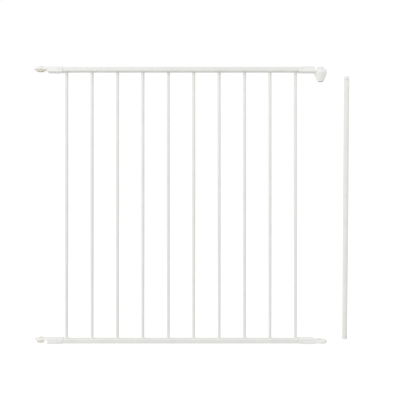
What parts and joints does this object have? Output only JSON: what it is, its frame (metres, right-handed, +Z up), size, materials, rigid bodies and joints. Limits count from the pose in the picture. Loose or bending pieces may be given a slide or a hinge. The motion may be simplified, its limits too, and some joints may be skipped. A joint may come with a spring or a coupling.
{
  "type": "modular safety gate section",
  "caption": "Barred white steel gate section with moulded hinge knuckles on its corners, a clamp bolt, a rod socket and a loose locking rod for joining it to its neighbour.",
  "frame": {"origin": "on the left hinge axis, at the mating plane of the lower knuckles", "axes": "+X along the panel from the left hinge axis to the right one, +Z up the bars, -Y is the front"},
  "size_m": [0.81, 0.032, 0.7151],
  "materials": {
    "white_steel": "satin white powder coat",
    "white_plastic": "fine-grained white moulding",
    "grey_plastic": "fine-grained off-white moulding",
    "tan_zinc": "satin yellow-passivated zinc",
    "brass": "turned",
    "zinc_plate": "bright zinc plate"
  },
  "bodies": {
    "pivots": {"upper_toothed_bush": "tan_zinc", "lower_toothed_boss": "tan_zinc", "pivot_bolt": "zinc_plate"},
    "panel": {"bottom_rail": "white_steel", "top_rail": "white_steel", "bar_01": "white_steel", "bar_02": "white_steel", "bar_03": "white_steel", "bar_04": "white_steel", "bar_05": "white_steel", "bar_06": "white_steel", "bar_07": "white_steel", "bar_08": "white_steel", "bar_09": "white_steel", "bar_10": "white_steel", "upper_left_knuckle": "white_plastic", "lower_left_knuckle": "white_plastic", "upper_right_knuckle": "white_plastic", "lower_right_knuckle": "white_plastic", "upper_left_screw": "white_plastic", "lower_left_screw": "white_plastic", "upper_right_screw": "white_plastic", "lower_right_screw": "white_plastic", "hinge_hub": "grey_plastic", "hub_insert": "brass", "rod_cone": "white_plastic"},
    "clamp": {"clamp_bolt": "zinc_plate"},
    "locking_rod": {"rod_foot": "grey_plastic", "rod_tube": "white_steel", "rod_top_cap": "grey_plastic"}
  },
  "joints": [
    {"name": "panel_swing", "type": "hinge", "parent": "pivots", "child": "panel", "pos_m": [0, 0, 0], "axis": [0, 0, 1], "range_deg": [-90, 90]},
    {"name": "clamp_turn", "type": "hinge", "parent": "panel", "child": "clamp", "pos_m": [0, 0, 0.7], "axis": [0, 0, 1], "continuous": true},
    {"name": "rod_carry", "type": "slide", "parent": "panel", "child": "locking_rod", "axis": [1, 0, 0], "range_m": [-0.03, 0.1]}
  ]
}
